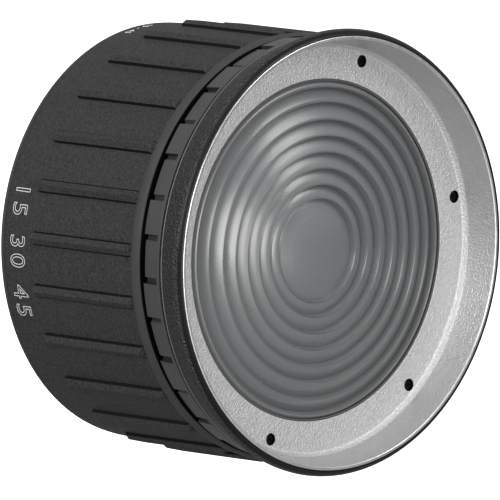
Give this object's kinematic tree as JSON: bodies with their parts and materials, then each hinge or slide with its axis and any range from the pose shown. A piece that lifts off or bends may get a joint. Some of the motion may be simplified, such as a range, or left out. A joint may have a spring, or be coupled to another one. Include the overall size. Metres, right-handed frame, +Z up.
{
  "type": "focusing fresnel spotlight attachment",
  "caption": "Round focusing Fresnel spotlight head with a rubber focus ring, a silver dish round a stepped lens, and a rear bayonet flange.",
  "frame": {"origin": "centre of the rear bayonet flange's seating face, on the optical axis", "axes": "+Y along the optical axis towards the rear (the light it is fixed to); the lens faces -Y; +Z up"},
  "size_m": [0.22, 0.1726, 0.22],
  "materials": {
    "cast_aluminium": "machined casting",
    "black_paint": "satin black paint",
    "bezel_paint": "fine textured black paint",
    "grey_anodise": "dark grey anodised",
    "black_anodise": "black anodised",
    "silver_paint": "satin silver paint, finely stippled",
    "grip_rubber": "fine grained rubber",
    "seal_rubber": "black rubber",
    "nylon": "natural nylon",
    "black_steel": "black oxide steel",
    "zinc_steel": "zinc plated",
    "lens_glass": "clear pressed glass"
  },
  "bodies": {
    "root": {"bayonet_ring": "cast_aluminium", "bayonet_lock_ring": "black_anodise", "mount_flange": "cast_aluminium", "flange_screw_1": "zinc_steel", "flange_screw_2": "zinc_steel", "flange_screw_3": "zinc_steel", "flange_screw_4": "zinc_steel", "rear_cover": "black_paint", "cover_screw_1": "black_steel", "cover_screw_2": "black_steel", "cover_screw_3": "black_steel", "cover_screw_4": "black_steel", "guide_barrel": "black_anodise", "rear_glide_ring": "nylon", "front_glide_ring": "nylon", "front_collar": "grey_anodise", "collar_screw_1": "black_steel", "collar_screw_2": "black_steel", "collar_screw_3": "black_steel", "front_bezel": "bezel_paint", "reflector_dish": "silver_paint", "dish_screw_1": "black_steel", "dish_screw_2": "black_steel", "dish_screw_3": "black_steel", "dish_screw_4": "black_steel", "dish_screw_5": "black_steel", "dish_screw_6": "black_steel", "lens_gasket": "seal_rubber", "front_lens": "lens_glass"},
    "focus_ring": {"focus_ring": "black_paint", "grip_sleeve": "grip_rubber", "cam_ring": "black_anodise", "cam_screw_1": "black_steel", "cam_screw_2": "black_steel", "cam_screw_3": "black_steel"},
    "lens_carriage": {"lens_carriage": "black_anodise", "lens_cushion": "seal_rubber", "condenser_lens": "lens_glass", "condenser_retainer": "black_anodise", "follower_roller_1": "nylon", "follower_roller_2": "nylon", "follower_roller_3": "nylon", "follower_screw_1": "zinc_steel", "follower_screw_2": "zinc_steel", "follower_screw_3": "zinc_steel"}
  },
  "joints": [
    {"name": "focus_turn", "type": "hinge", "parent": "root", "child": "focus_ring", "pos_m": [0, 0, 0], "axis": [0, -1, 0], "range_deg": [0, 100]},
    {"name": "carriage_slide", "type": "slide", "parent": "root", "child": "lens_carriage", "axis": [0, -1, 0], "range_m": [0, 0.06]}
  ],
  "couplings": [
    {"joint": "carriage_slide", "follows": "focus_turn", "m_per_rad": 0.034377}
  ]
}
